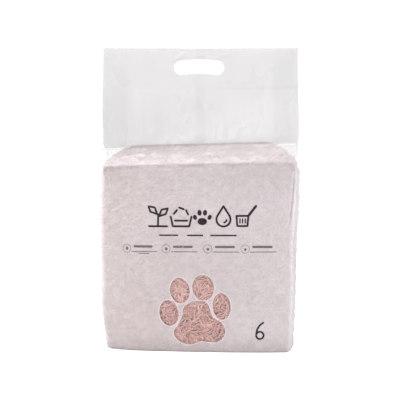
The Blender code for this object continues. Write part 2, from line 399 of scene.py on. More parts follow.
def wrinkles(grid):
    # how far the film stands out along its own face, in metres, and its tone with painted light:
    # 1 for painted highlights along the eave, folds and edges, -1 for painted shade in creases, under the
    # eave and at the foot
    across, up, share, panel, x, z = (grid[k] for k in ("across", "up", "share", "panel", "x", "z"))
    fold = {seed: folds(across, up, *shape, seed) for seed, shape in crumples.items()}
    eave = body["eave"]
    flat = panel % 2 == 0
    upright = 1 - ease(share * 12)
    front = (panel == 0) * upright
    side = upright * ~flat
    clear = np.where(panel == 0, ease((pawDistance(x, z) + 0.004) / 0.02), 1.0)
    height = 0.00045 * noise(across / 0.048, up / 0.040, 3) + 0.00022 * noise(across / 0.017, up / 0.014, 4)
    height += clear * (0.00020 * noise(across / 0.0060, up / 0.0052, 5) + 0.00028 * (fold[17] + fold[18]))
    height *= 1 - 0.4 * share
    foldLine = bell(grid["folded"] - header["gusset"], 0.0016)
    height += side * (0.0007 * fold[6] + 0.0006 * fold[7] + 0.0006 * foldLine)
    # crumples of the roof, most of them low down and at its ends, and of the upper corners
    roof = ease(share * 8) * ease((1 - share) * 5) * flat
    ends = ease((np.abs(x) - 0.070) / 0.03)
    corner = bell(np.abs(x) - 0.116, 0.016) * bell(up - eave + 0.004, 0.012)
    height += roof * (0.0011 * fold[8] + 0.0010 * fold[9] + 0.0008 * fold[10] + 0.0012 * ends * fold[11])
    height += corner * 0.0013 * (fold[15] - 0.3)
    # welt along the eave
    level = across * 0
    line = eave + 0.0012 * noise(across / 0.021, level, 12) + 0.0006 * noise(across / 0.008, level, 13)
    strength = 0.75 + 0.35 * noise(across / 0.017, level, 14)
    past = up - line
    height += flat * strength * (0.0016 * bell(past, 0.0017) - 0.0010 * bell(past + 0.0036, 0.0016))
    height += flat * (0.0004 * bell(past + 0.0068, 0.0018) - 0.0007 * bell(past - 0.0042, 0.0018))
    for start, end, width, rise in creases["front"]:
        height += front * rise * crease(across, up, start, end, width)
    pinch = crease(across, up, (0.1206, 0.2230), (0.1155, 0.1450), 0.0013)
    height = (height - front * 0.0015 * pinch) * ease(z / 0.004)
    leftEnd = ease((-x - 0.045) / 0.04)
    # painted highlight along the top of the eave's welt, and painted shade in the groove under it, darkest
    # to the left
    tone = flat * (0.55 + 0.6 * strength) * bell(past - 0.0008, 0.0013)
    tone -= flat * (0.30 + 0.5 * leftEnd) * strength * bell(past + 0.0042, 0.0016)
    # painted highlights and shade along the roof's crumples, a painted highlight along the hips where the
    # roof's film leaves the litter, and painted light and shade on the upper corners' crumples
    tone += roof * (0.5 * (fold[8] - 0.35) + 0.4 * (fold[10] - 0.3))
    tone += roof * 0.5 * bell(grid["backed"] - 0.0012, 0.0016)
    tone += corner * 0.6 * (fold[15] - 0.45)
    # rounded upper corners of the front, shown in painted light: paler outside each arc, partly film with
    # little litter close behind and partly painted light, with a painted shade line along the arc
    bend = 0.0085
    reachX, reachZ = np.maximum(bend - grid["inset"], 0), np.maximum(up - eave + 0.0035 + bend, 0)
    beyond = np.hypot(reachX, reachZ) - bend
    rim = front * (reachX > 0) * (reachZ > 0)
    # side walls lighter as painted light; the front's edge strips lighter, partly film with little litter
    # close behind it and partly painted light
    tone += side * 0.45 + front * 0.55 * bell(grid["inset"], 0.0032) * (1 - ease(reachZ / 0.005))
    tone += rim * 0.6 * ease((beyond - 0.0008) / 0.002)
    tone -= rim * 1.4 * bell(beyond + 0.0004, 0.0013) * ease(reachZ / 0.003)
    # painted highlight beside the pinched crease at the right and painted shade in it, then painted shade
    # in the dark creases
    tone += front * (0.5 * crease(across, up, (0.1238, 0.2230), (0.1190, 0.1450), 0.0014) - 0.9 * pinch)
    for start, end in creases["dark"]:
        tone -= front * 0.35 * crease(across, up, start, end, 0.0011)
    tone += flat * upright * 0.22 * noise(across / 0.0050, up / 0.0038, 24)
    # painted shade at the foot, and a painted shadow line along the front's lower edge towards the left
    tone -= upright * 0.5 * (1 - ease(z / 0.0035))
    tone -= front * 0.5 * (1 - ease(z / 0.0050)) * ease((x + 0.105) / 0.01) * ease((-0.030 - x) / 0.01)
    return height, np.clip(tone, -1, 1)


def headerTone(grid):
    x, z = grid["x"], grid["z"]
    above = (grid["share"] >= 1) & (grid["panel"] == 0)
    # a dark line along the seal under the slot, to its right; painted highlights in spots above the slot
    # and along the top edge; random mottling
    tone = -0.60 * bell(z - header["sealHeight"], 0.0011) * ease((x - 0.010) / 0.02)
    for spotX, spotZ, size in ((-0.030, 0.3525, 0.0030), (-0.016, 0.3625, 0.0040), (-0.004, 0.3690, 0.0050),
                               (0.007, 0.3640, 0.0035), (0.100, 0.3680, 0.0080)):
        tone = tone + 0.5 * bell(np.hypot((x - spotX) * 0.6, z - spotZ), size)
    tone = tone + 0.45 * bell(z - header["top"], 0.0060)
    tone = tone + 0.14 * noise(x / 0.017 + 3, z / 0.034, 25)
    return tone * above


def headerWave(grid):
    # the same for every layer, so that none crosses another
    x, z, share = grid["x"], grid["z"], grid["share"]
    climb = np.clip((z - body["ridge"]) / (header["top"] - body["ridge"]), 0, 1)
    wave = 0.0016 * np.sin(x / 0.052 + 0.6) * ease(climb * 2.2)
    wave += 0.0010 * noise(x / 0.040 + 9, z / 0.045, 21)
    pleats = (1 - climb) ** 3 * (folds(x, z, 1.45, 0.030, 0.010, 22) + folds(x, z, 1.9, 0.024, 0.009, 23))
    wave -= 0.0009 * pleats
    for start, end, width, rise in creases["header"]:
        wave -= rise * crease(x, z, start, end, width)
    return wave * (share >= 1) * ease(climb * 14)


def placeGrid(grid):
    # slope of the fuller right side, turn of the header, and the foot's lifted left corner
    x, y, z = grid["x"], grid["y"], grid["z"]
    ridge, top = body["ridge"], header["top"]
    share = np.where(z < ridge, z / ridge, (top - z) / (top - ridge))
    lift = 0.0016 * ease((-x - 0.075) / 0.04) * (1 - ease(z / 0.012))
    turn = header["twist"] * ease((z - ridge) / (header["twistEnd"] - ridge))
    climb = ease((z - ridge) / (top - ridge))
    spread = (1 - climb) * ease((z - ridge + 0.004) / 0.012)
    x = x + 0.0007 * ease((z - ridge) / 0.02) + spread * (0.0009 * ease(x / 0.1) - 0.0020 * ease(-x / 0.1))
    sag = climb * (0.0006 - 0.0005 * (x / header["halfWidth"]) ** 2)
    grid["x"] = x * np.cos(turn) - y * np.sin(turn)
    grid["y"] = x * np.sin(turn) + y * np.cos(turn)
    grid["z"] = z + body["rightRise"] * ease(share) * x + lift - sag


def gridPoints(grid):
    return np.stack([grid[axis] for axis in "xyz"], -1)


def gridNormals(grid):
    points = gridPoints(grid)
    around = np.roll(points, -1, 1) - np.roll(points, 1, 1)
    rising = np.gradient(points, axis=0)
    normal = np.cross(around, rising)
    return normal / np.maximum(np.linalg.norm(normal, axis=2, keepdims=True), 1e-12)


def setUvs(mesh, uvs):
    mesh.uv_layers.new(name="OFBake").data.foreach_set("uv", np.array(uvs, float).ravel())


def setAttribute(mesh, name, values):
    mesh.attributes.new(name, "FLOAT", "POINT").data.foreach_set("value", values)


def newMesh(name, points, faces):
    mesh = bpy.data.meshes.new(name)
    mesh.from_pydata(points, [], faces)
    return mesh


def buildFilm():
    grid = filmGrid()
    grid["y"] = grid["y"] + headerWave(grid)
    height, tone = wrinkles(grid)
    height = height * (1 - ease((grid["share"] - 0.85) / 0.15))
    tone = np.where(grid["share"] < 1, tone, headerTone(grid))
    window = np.where(grid["panel"] == 0, pawDistance(grid["x"], grid["z"]), farAway)
    window = np.where(grid["share"] > 0, farAway, window)
    normal = gridNormals(grid)
    for i, axis in enumerate("xyz"):
        grid[axis] = grid[axis] + normal[..., i] * height
    flatX = grid["x"]
    placeGrid(grid)
    grid["z"] = np.maximum(grid["z"], 0.0)
    rows, columns = grid["x"].shape
    points = gridPoints(grid).reshape(-1, 3)
    total = 4 * header["halfWidth"] + 4 * header["gusset"]
    uvAcross = (grid["across"] + header["halfWidth"]) / uvScale
    uvUp = grid["up"] / uvScale + uvMargin
    faces, uvs = [], []
    for r in range(rows - 1):
        for c in range(columns):
            d = (c + 1) % columns
            faces.append((r * columns + c, r * columns + d, (r + 1) * columns + d, (r + 1) * columns + c))
            a, b = uvAcross[r, c], uvAcross[r, d] if d else total / uvScale
            uvs += [(a, uvUp[r, c]), (b, uvUp[r, d]), (b, uvUp[r + 1, d]), (a, uvUp[r + 1, c])]
    addUnderside(grid, points, faces, uvs)
    extra = grid["underside"]
    points = np.concatenate([points, extra])
    closeTop(faces, uvs, (rows - 1) * columns, grid["counts"], points)
    mesh = newMesh("bagFilm", points.tolist(), faces)
    setUvs(mesh, uvs)
    wall = grid["panel"] % 2 == 1
    ear = ease(-grid["backed"] / 0.004) * (grid["share"] < 1)
    lines = folds(grid["across"], grid["up"], 0.7, 0.022, 0.0075, 26)
    outer = bell(header["halfWidth"] - np.abs(flatX), 0.0020) * ~wall
    thin = np.where(grid["share"] >= 1, 1.0 * wall, ear * (0.90 - 0.20 * lines - 0.45 * outer))
    for name, values, beneath in (
        ("windowDistance", window, farAway), ("backedDistance", grid["backed"], farAway),
        ("thinness", thin, 0.0), ("toneAndPaintedLight", tone, 0.2),
    ):
        setAttribute(mesh, name, np.concatenate([values.ravel(), np.full(len(extra), beneath)]))
    mesh.shade_smooth()
    mesh.set_sharp_from_angle(angle=math.radians(55))
    return mesh, grid


def addUnderside(grid, points, faces, uvs):
    # rings that shrink to a slit, with the flattened seal and the folded corners in low relief
    columns = grid["x"].shape[1]
    edge = points[:columns]
    shrink = (0.93, 0.82, 0.66, 0.5, 0.34, 0.2, 0.09, 0.02)
    rings = []
    for share in shrink:
        x = edge[:, 0] * mix(0.80, 1.0, share)
        y = edge[:, 1] * share
        seal = ease(2.4 - np.abs(y + 0.010) / 0.003) * (np.abs(x) < 0.098)
        tuck = ease((np.abs(x) + np.abs(y) - 0.088) / 0.002)
        z = 0.0009 - 0.0005 * seal - 0.0003 * tuck
        rings.append(np.stack([x, y, z], 1))
    grid["underside"] = np.concatenate(rings)
    start = len(points)
    for k in range(len(shrink)):
        for c in range(columns):
            d = (c + 1) % columns
            low = start + k * columns
            high = low - columns if k else 0
            corners = (low + c, low + d, high + d, high + c)
            faces.append(corners)
            for v in corners:
                x, y = (grid["underside"][v - start] if v >= start else points[v])[:2]
                uvs.append((undersideUv[0] + x / uvScale, undersideUv[1] + y / uvScale))
    last = start + (len(shrink) - 1) * columns
    n, m = grid["counts"]
    back = n + 2 * m
    for c in range(n - 1):  # zip the slit: front columns to back columns
        corners = (last + c + 1, last + c, last + back + n - 1 - c, last + back + n - 2 - c)
        faces.append(corners)
        uvs += [undersideUv] * 4
    for first, count in ((n - 1, 2 * m + 2), (back + n - 1, 2 * m + 2)):
        loop = [last + (first + i) % columns for i in range(count)]
        faces.append(tuple(reversed(loop)))
        uvs += [undersideUv] * count


def closeTop(faces, uvs, base, counts, points):
    # the cut edge at the top: front to side wall, side wall to back, and front to back between them
    n, m = counts
    right, back, left = n, n + 2 * m, 2 * n + 2 * m
    corners = []
    for k in range(m - 1):
        corners.append((n - 1 - k, right + k, right + k + 1, n - 2 - k))
        corners.append((back + k, back + k + 1, right + 2 * m - 2 - k, right + 2 * m - 1 - k))
        corners.append((back + n - 1 - k, left + k, left + k + 1, back + n - 2 - k))
        corners.append((k, k + 1, left + 2 * m - 2 - k, left + 2 * m - 1 - k))
    for c in range(m - 1, n - m):
        face = [c, c + 1, back + n - 2 - c, back + n - 1 - c]
        if c == m - 1:
            face += [left + m - 1, left + m]
        if c == n - m - 1:
            face = [c, c + 1, right + m - 1, right + m, back + m - 1, back + m]
        corners.append(tuple(face))
    for face in corners:
        faces.append(tuple(base + c for c in face))
        for c in face:
            x, y = points[base + c][:2]
            uvs.append((topUv[0] + x / uvScale, topUv[1] + y / uvScale))


def slotOutline():
    radius = (slot["height"] - slot["bow"]) / 2
    reach = slot["length"] / 2 - radius
    steps = slot["steps"]

    def bow(x):
        return slot["bow"] * (0.5 - (x / reach) ** 2)

    sides = np.linspace(-reach, reach, steps + 1)
    turns = np.linspace(0, math.pi, steps + 1)[1:-1]
    lower = [(x, bow(x) - radius) for x in sides]
    right = [(reach + radius * math.sin(a), bow(reach) - radius * math.cos(a)) for a in turns]
    upper = [(x, bow(x) + radius) for x in sides[::-1]]
    left = [(-reach - radius * math.sin(a), bow(reach) + radius * math.cos(a)) for a in turns]
    return lower + right + upper + left


def cutSlot(film):
    turned = header["twist"]
    bm = bmesh.new()
    ring = []
    for x, z in slotOutline():
        x = x + slot["x"]
        ring.append(bm.verts.new((x * math.cos(turned), x * math.sin(turned), z + slot["z"])))
    face = bm.faces.new(ring)
    side = Vector((math.sin(turned), -math.cos(turned), 0)) * 0.02
    bmesh.ops.translate(bm, verts=ring, vec=side)
    grown = bmesh.ops.extrude_face_region(bm, geom=[face])
    far = [v for v in grown["geom"] if isinstance(v, bmesh.types.BMVert)]
    bmesh.ops.translate(bm, verts=far, vec=side * -2)
    bmesh.ops.recalc_face_normals(bm, faces=bm.faces)
    mesh = bpy.data.meshes.new("slotCutter")
    bm.to_mesh(mesh)
    bm.free()
    setUvs(mesh, np.full(len(mesh.loops) * 2, 0.98))
    for name, value in (
        ("windowDistance", farAway), ("backedDistance", -farAway), ("thinness", 0.0), ("toneAndPaintedLight", 0.0),
    ):
        setAttribute(mesh, name, np.full(len(mesh.vertices), value))
    cutter = addObject("slotCutter", mesh)
    cut = film.modifiers.new("slot", "BOOLEAN")
    cut.operation = "DIFFERENCE"
    cut.solver = "EXACT"
    cut.object = cutter
    settle(film)
    bpy.data.objects.remove(cutter)


def settle(obj):
    # turn the evaluated result into a plain mesh and drop the modifiers
    depsgraph = bpy.context.evaluated_depsgraph_get()
    mesh = bpy.data.meshes.new_from_object(obj.evaluated_get(depsgraph), depsgraph=depsgraph)
    obj.modifiers.clear()
    obj.data = mesh


def addObject(name, data, material=None):
    obj = bpy.data.objects.new(name, data)
    bpy.context.scene.collection.objects.link(obj)
    if material:
        data.materials.clear()
        data.materials.append(material)
    return obj


# ---- shader helpers ----


def feed(tree, socket, value):
    # a link where the value is another node's socket, else a plain setting
    if isinstance(value, bpy.types.NodeSocket):
        tree.links.new(value, socket)
    else:
        socket.default_value = value


def wire(tree, kind, inputs=None, **settings):
    made = tree.nodes.new(kind)
    for name, value in settings.items():
        setattr(made, name, value)
    for name, value in (inputs or {}).items():
        feed(tree, made.inputs[name], value)
    return made


def calc(tree, operation, *values, clamp=False):
    made = wire(tree, "ShaderNodeMath", dict(enumerate(values)), operation=operation, use_clamp=clamp)
    return made.outputs[0]


def times(tree, first, second, clamp=False):
    return calc(tree, "MULTIPLY", first, second, clamp=clamp)


def plus(tree, first, second):
    return calc(tree, "ADD", first, second)


def minus(tree, first, second):
    return calc(tree, "SUBTRACT", first, second)


def blendColour(tree, share, first, second, kind="MIX"):
    made = wire(tree, "ShaderNodeMix", {0: share, 6: first, 7: second}, data_type="RGBA", blend_type=kind)
    return made.outputs[2]


def shaded(tree, colour, factor):
    # the colour times a plain grey
    grey = wire(tree, "ShaderNodeCombineColor", {0: factor, 1: factor, 2: factor}).outputs[0]
    return blendColour(tree, 1.0, colour, grey, "MULTIPLY")


def attribute(tree, name):
    return wire(tree, "ShaderNodeAttribute", attribute_name=name).outputs["Fac"]


def cloudy(tree, place, scale, detail, dimensions="3D"):
    return wire(tree, "ShaderNodeTexNoise", {"Vector": place, "Scale": scale, "Detail": detail},
                noise_dimensions=dimensions).outputs[0]


def addBump(tree, shader, height):
    bump = wire(tree, "ShaderNodeBump", {"Height": height, "Strength": 1.0, "Distance": 1.0})
    feed(tree, shader.inputs["Normal"], bump.outputs[0])


def fit(tree, value, low, high, toLow=0.0, toHigh=1.0):
    # a smooth step from toLow at low to toHigh at high
    return wire(tree, "ShaderNodeMapRange", {
        "Value": value, "From Min": low, "From Max": high, "To Min": toLow, "To Max": toHigh},
        interpolation_type="SMOOTHSTEP").outputs[0]


def newGroup(name, inputs, outputs, kind="ShaderNodeTree"):
    # sockets are given as label, type and, where one is wanted, a value
    tree = bpy.data.node_groups.new(name, kind)
    for way, sockets in (("INPUT", inputs), ("OUTPUT", outputs)):
        for label, socketKind, *value in sockets:
            socket = tree.interface.new_socket(label, in_out=way, socket_type="NodeSocket" + socketKind)
            if value:
                socket.default_value = value[0]
    return tree, tree.nodes.new("NodeGroupInput").outputs, tree.nodes.new("NodeGroupOutput").inputs


def useGroup(tree, group, inputs):
    return wire(tree, "ShaderNodeGroup", inputs, node_tree=group).outputs


def pelletLayerGroup():
    # one layer of short rods at random turns: Height is a round back, Tint a random number for each rod
    tree, given, put = newGroup("pelletLayer", [
        ("Vector", "Vector"), ("Cell", "Float", 0.0042), ("Length", "Float", 0.007),
        ("Width", "Float", 0.0022), ("Seed", "Float", 0.0)], [("Height", "Float"), ("Tint", "Float")])
    shift = wire(tree, "ShaderNodeCombineXYZ", {"X": times(tree, given["Seed"], 0.731),
                                                "Y": times(tree, given["Seed"], 0.417)})
    place = wire(tree, "ShaderNodeVectorMath", {0: given["Vector"], 1: shift.outputs[0]}, operation="ADD")
    cells = wire(tree, "ShaderNodeTexVoronoi", {"Vector": place.outputs[0], "Randomness": 0.9,
                                                "Scale": calc(tree, "DIVIDE", 1.0, given["Cell"])},
                 voronoi_dimensions="2D")
    local = wire(tree, "ShaderNodeVectorMath", {0: place.outputs[0], 1: cells.outputs["Position"]},
                 operation="SUBTRACT")
    chance = wire(tree, "ShaderNodeSeparateColor", {"Color": cells.outputs["Color"]}).outputs
    turned = wire(tree, "ShaderNodeVectorRotate", {
        "Vector": local.outputs[0], "Angle": times(tree, chance[0], 2 * math.pi)}, rotation_type="Z_AXIS")
    parts = wire(tree, "ShaderNodeSeparateXYZ", {0: turned.outputs[0]}).outputs
    beyond = minus(tree, calc(tree, "ABSOLUTE", parts["X"]), times(tree, given["Length"], 0.5))
    beyond = calc(tree, "MAXIMUM", beyond, 0.0)
    away = plus(tree, times(tree, beyond, beyond), times(tree, parts["Y"], parts["Y"]))
    half = times(tree, given["Width"], 0.5)
    hollow = minus(tree, 1.0, calc(tree, "DIVIDE", away, times(tree, half, half)))
    feed(tree, put["Height"], calc(tree, "SQRT", calc(tree, "MAXIMUM", hollow, 0.0)))
    feed(tree, put["Tint"], chance[1])
    return tree


def pelletReliefGroup():
    # four layers over each other: Height from 0 in the gaps to 1, Tint from the rod on top
    layer = pelletLayerGroup()
    tree, given, put = newGroup("pelletRelief", [("Vector", "Vector"), ("Width", "Float", 0.0022)],
                                [("Height", "Float"), ("Tint", "Float")])
    height, tint = 0.0, 0.5
    for i, level in enumerate((0.55, 0.7, 0.85, 1.0)):
        out = useGroup(tree, layer, {
            "Vector": given["Vector"], "Width": given["Width"], "Seed": 1.7 * i + 0.3,
            "Cell": 0.0046 + 0.0004 * i, "Length": 0.0064 + 0.0006 * i})
        raised = times(tree, plus(tree, times(tree, out["Height"], 0.45), 0.55), level)
        raised = times(tree, raised, calc(tree, "GREATER_THAN", out["Height"], 0.02))
        above = calc(tree, "GREATER_THAN", raised, height)
        tint = plus(tree, times(tree, out["Tint"], above), times(tree, tint, minus(tree, 1.0, above)))
        height = calc(tree, "MAXIMUM", raised, height)
    feed(tree, put["Height"], height)
    feed(tree, put["Tint"], tint)
    return tree


def filmGrainGroup():
    # faint stretch marks and flow lines of blown film: Height for the bump, Haze for the roughness
    tree, given, put = newGroup("filmGrain", [("Vector", "Vector")],
                                [("Height", "Float"), ("Haze", "Float")])
    long = wire(tree, "ShaderNodeMapping", {"Vector": given["Vector"], "Scale": (260, 40, 1)})
    lines = cloudy(tree, long.outputs[0], 1.0, 3.0, "2D")
    patches = cloudy(tree, given["Vector"], 34.0, 4.0, "2D")
    feed(tree, put["Height"], plus(tree, times(tree, lines, 0.35), times(tree, patches, 0.9)))
    feed(tree, put["Haze"], patches)
    return tree


def newMaterial(name, **plain):
    material = bpy.data.materials.new(name)
    material.use_nodes = True
    tree = material.node_tree
    shader = tree.nodes["Principled BSDF"]
    for label, value in plain.items():
        shader.inputs[label.replace("_", " ")].default_value = value
    return material, tree, shader


def filmMetres(tree):
    uv = wire(tree, "ShaderNodeUVMap", uv_map="OFBake").outputs[0]
    return wire(tree, "ShaderNodeVectorMath", {0: uv, 1: (uvScale,) * 3}, operation="MULTIPLY").outputs[0]


filmLook = {
    "backed": (0.632, 0.570, 0.586, 1),      # milky film with litter close behind it
    "backedPink": (0.580, 0.496, 0.502, 1),
    "roof": (0.708, 0.632, 0.646, 1),        # the same on the roof, where the print ends, and paler as painted light from above
    "free": (0.780, 0.768, 0.774, 1),        # milky film with nothing behind it
    "halo": (0.790, 0.665, 0.675, 1),        # unprinted rim of the window
    "whitenedAndHighlight": (0.870, 0.815, 0.825, 1),    # two layers at the lap seam, and painted highlights along folds and edges
    "pressed": (0.300, 0.240, 0.250, 1),     # dark edges of the lap seam and the seal line, and painted shade in creases, under the eave and at the foot
    "freeAlpha": 0.56,
    "thinAlpha": 0.09,                       # the ears, and the folded side walls inside the header
    "windowAlpha": 0.10,
    "relief": 0.00036,
}


def filmMaterial(relief, grain):
    material, tree, shader = newMaterial("milkyFilm", IOR=1.5)
    place = filmMetres(tree)
    half, lapHalf, eave = header["halfWidth"], header["lapHalf"], body["eave"]
    window = attribute(tree, "windowDistance")
    marks = useGroup(tree, grain, {"Vector": place})
    rods = useGroup(tree, relief, {"Vector": place, "Width": 0.0023})
    wander = times(tree, minus(tree, marks["Haze"], 0.5), 0.006)
    backed = fit(tree, plus(tree, attribute(tree, "backedDistance"), wander), -0.0006, 0.0010)
    printed = fit(tree, window, -0.0002, 0.0002)
    halo = fit(tree, window, 0.0005, 0.0021, 1.0, 0.0)
    spread = wire(tree, "ShaderNodeSeparateXYZ", {0: place}).outputs
    up = minus(tree, spread["Y"], uvMargin * uvScale)
    # film over litter: pinker to the left; paler on the roof, partly as painted light from above; painted
    # shade at the foot, just under the eave and high on the roof to the left
    across = fit(tree, spread["X"], 0.0, 2 * half, 0.62, 0.0)
    broad = cloudy(tree, place, 14.0, 2.0, "2D")
    mottled = plus(tree, times(tree, broad, 0.5), times(tree, rods["Tint"], 0.12))
    pinkness = fit(tree, plus(tree, mottled, across), 0.15, 1.05)
    over = blendColour(tree, pinkness, filmLook["backed"], filmLook["backedPink"])
    # paler on the roof: partly where the print ends, partly painted light from above
    over = blendColour(tree, fit(tree, up, eave - 0.001, eave + 0.004), over, filmLook["roof"])
    # painted shade: darker at the foot and just under the eave
    foot = fit(tree, up, 0.002, 0.024, 0.82, 1.0)
    ends = times(tree, foot, fit(tree, up, eave - 0.055, eave - 0.010, 1.0, 0.915))
    # painted shade high on the roof under the header, more to the left
    leftward = fit(tree, spread["X"], 0.0, 2 * half, 0.215, 0.060)
    upper = fit(tree, up, eave + 0.010, eave + 0.042)
    over = shaded(tree, over, times(tree, ends, minus(tree, 1.0, times(tree, upper, leftward))))
    # darker over the gaps between the litter's rods: painted shade of their relief seen through the film
    over = shaded(tree, over, fit(tree, rods["Height"], 0.1, 0.9, 0.955, 1.015))
    over = blendColour(tree, times(tree, halo, 0.8), over, filmLook["halo"])
    # lap seam down the back, and its edges
    seam = calc(tree, "ABSOLUTE", minus(tree, spread["X"], 3 * half + 2 * header["gusset"]))
    rim = calc(tree, "ABSOLUTE", minus(tree, seam, lapHalf))
    lap = fit(tree, seam, lapHalf, lapHalf + 0.0003, 0.30, 0.0)
    over = blendColour(tree, lap, over, filmLook["whitenedAndHighlight"])
    over = blendColour(tree, fit(tree, rim, 0.0002, 0.0009, 0.35, 0.0), over, filmLook["pressed"])
    # painted light: film with nothing behind it is lighter low on the header, against the shade the roof
    # and block cast there, and a little darker higher up
    glow = fit(tree, up, body["ridge"], body["ridge"] + 0.05, 1.04, 0.965)
    colour = blendColour(tree, backed, shaded(tree, filmLook["free"], glow), over)
    # positive tone: painted highlights; negative tone: painted shade, and the dark seal line
    tone = attribute(tree, "toneAndPaintedLight")
    colour = blendColour(tree, times(tree, tone, 0.75, clamp=True), colour, filmLook["whitenedAndHighlight"])
    colour = blendColour(tree, times(tree, tone, -0.30, clamp=True), colour, filmLook["pressed"])
    feed(tree, shader.inputs["Base Color"], colour)
    thin = fit(tree, attribute(tree, "thinness"), 0.0, 1.0, filmLook["freeAlpha"], filmLook["thinAlpha"])
    thin = plus(tree, thin, fit(tree, seam, lapHalf, lapHalf + 0.0004, 0.16, 0.0))
    alpha = plus(tree, thin, times(tree, backed, minus(tree, 1.0, thin)))
    clear = filmLook["windowAlpha"]
    alpha = times(tree, alpha, plus(tree, times(tree, printed, 1 - clear), clear))
    feed(tree, shader.inputs["Alpha"], alpha)
    feed(tree, shader.inputs["Roughness"], fit(tree, marks["Haze"], 0.3, 0.7, 0.26, 0.40))
    height = times(tree, times(tree, rods["Height"], backed), filmLook["relief"])
    addBump(tree, shader, plus(tree, height, times(tree, marks["Height"], 0.00022)))
    return material


def litterMaterial(relief):
    material, tree, shader = newMaterial("pressedLitter", Roughness=0.8)
    rods = useGroup(tree, relief, {"Vector": filmMetres(tree), "Width": 0.0022})
    rod = blendColour(tree, rods["Tint"], block["dark"], block["pale"])
    # darker in the gaps between rods: painted shade of the pellet relief
    colour = blendColour(tree, fit(tree, rods["Height"], 0.35, 0.7), block["gaps"], rod)
    feed(tree, shader.inputs["Base Color"], colour)
    addBump(tree, shader, times(tree, rods["Height"], 0.0011))
    return material


def pelletMaterial():
    material, tree, shader = newMaterial("litterPellets", Roughness=0.72)
    place = wire(tree, "ShaderNodeTexCoord").outputs["Object"]
    mealy = cloudy(tree, place, 900.0, 3.0)
    rod = blendColour(tree, attribute(tree, "tint"), pellets["dark"], pellets["pale"])
    rod = shaded(tree, rod, fit(tree, mealy, 0.35, 0.7, 0.82, 1.08))
    low = fit(tree, wire(tree, "ShaderNodeSeparateXYZ", {0: place}).outputs["Z"], 0.040, 0.066, 1.0, 0.0)
    rod = blendColour(tree, times(tree, low, 0.16), rod, pellets["lowDown"])
    feed(tree, shader.inputs["Base Color"], rod)
    addBump(tree, shader, times(tree, mealy, 0.00016))
    return material


def inkMaterial(name, dark, pale):
    material, tree, shader = newMaterial(name, Roughness=0.45, IOR=1.3)
    cover = cloudy(tree, wire(tree, "ShaderNodeTexCoord").outputs["Object"], 420.0, 3.0)
    feed(tree, shader.inputs["Base Color"], blendColour(tree, fit(tree, cover, 0.45, 0.8), dark, pale))
    return material


# ---- litter ----


block = {
    "gap": 0.0022,                     # to the film
    "roofReach": 0.94,                 # how far it goes up the roof's slopes
    "dent": 0.0042,                    # room for the pellets behind the window
    "frontColumns": 81,
    "sideColumns": 11,
    "rows": 72,
    "roofRows": 12,
    "dark": (0.50, 0.25, 0.21, 1),
    "pale": (0.66, 0.40, 0.35, 1),
    # painted shade between the rods
    "gaps": (0.36, 0.17, 0.145, 1),
}


def litterGrid():
    places = np.linspace(-1, 1, block["frontColumns"])
    leaf = np.linspace(0, header["gusset"], block["sideColumns"])
    gap = block["gap"]
    rows = [(z, 0.0, max(0.0055 * (1 - z / 0.005), 0)) for z in (0.0012, 0.0022, 0.0045)]
    rows += [(z, 0.0, 0.0) for z in np.linspace(0.008, body["eave"] - 0.002, block["rows"])]
    shares = np.linspace(0.04, block["roofReach"], block["roofRows"])
    rows += [(body["eave"], share, 0.0) for share in shares]
    made = []
    for z, share, roundIn in rows:
        x, y = bodyRing(z, roundIn + gap, places, leaf)
        hip = 1 - header["gusset"] / body["creaseX"] * share
        height = np.full(len(x), mix(body["eave"], body["ridge"], share) - gap if share else z)
        away = pawDistance(x, height)
        dent = block["dent"] * ease((0.009 - away) / 0.006) * (y < 0) * (share == 0)
        made.append((x * hip, y * (1 - share) + dent, height))
    return dict(zip("xyz", np.array(made).transpose(1, 0, 2)))


def buildLitter(material):
    grid = litterGrid()
    relief = 0.0003 * noise(np.arange(grid["x"].shape[1])[None, :] / 2.1, grid["z"] / 0.004, 31)
    placeGrid(grid)
    grid["y"] = grid["y"] - np.sign(grid["y"]) * np.abs(relief)
    rows, columns = grid["x"].shape
    points = gridPoints(grid).reshape(-1, 3)
    step = np.hypot(*(np.roll(grid[a], -1, 1) - grid[a] for a in "xy"))
    around = np.cumsum(step, 1) - step
    faces, uvs = [], []
    for r in range(rows - 1):
        for c in range(columns):
            d = (c + 1) % columns
            faces.append((r * columns + c, r * columns + d, (r + 1) * columns + d, (r + 1) * columns + c))
            a = around[40, c] / uvScale
            b = around[40, d] / uvScale if d else (around[40, -1] + 0.003) / uvScale
            low, high = grid["z"][r, c] / uvScale * 1.3, grid["z"][r + 1, c] / uvScale * 1.3
            uvs += [(a, low), (b, low), (b, high), (a, high)]
    for ring, flip in ((0, True), (rows - 1, False)):
        loop = [ring * columns + c for c in range(columns)][::-1 if flip else 1]
        faces.append(tuple(loop))
        uvs += [(0.3 + points[v][0] / uvScale, 0.75 + 0.12 * flip + points[v][1] / uvScale) for v in loop]
    mesh = newMesh("litterBlock", points.tolist(), faces)
    setUvs(mesh, uvs)
    mesh.shade_smooth()
    return addObject("litterBlock", mesh, material)


pellets = {
    "radius": 0.00090,
    "length": 0.0098,
    "density": 104000.0,       # rods on a square metre of one layer
    "spacing": 0.00185,
    "layers": 4,
    "layerDepth": 0.00095,
    "tilt": 0.07,
    "swirl": 52.0,             # how soon the rods' direction changes, in turns a metre
    "margin": 0.0050,          # how far the rods run on behind the printed film
    "sides": 6,
    "dark": (0.65, 0.38, 0.335, 1),
    "pale": (0.872, 0.598, 0.558, 1),
    "lowDown": (0.46, 0.22, 0.19, 1),  # what the lowest rods lean towards
}


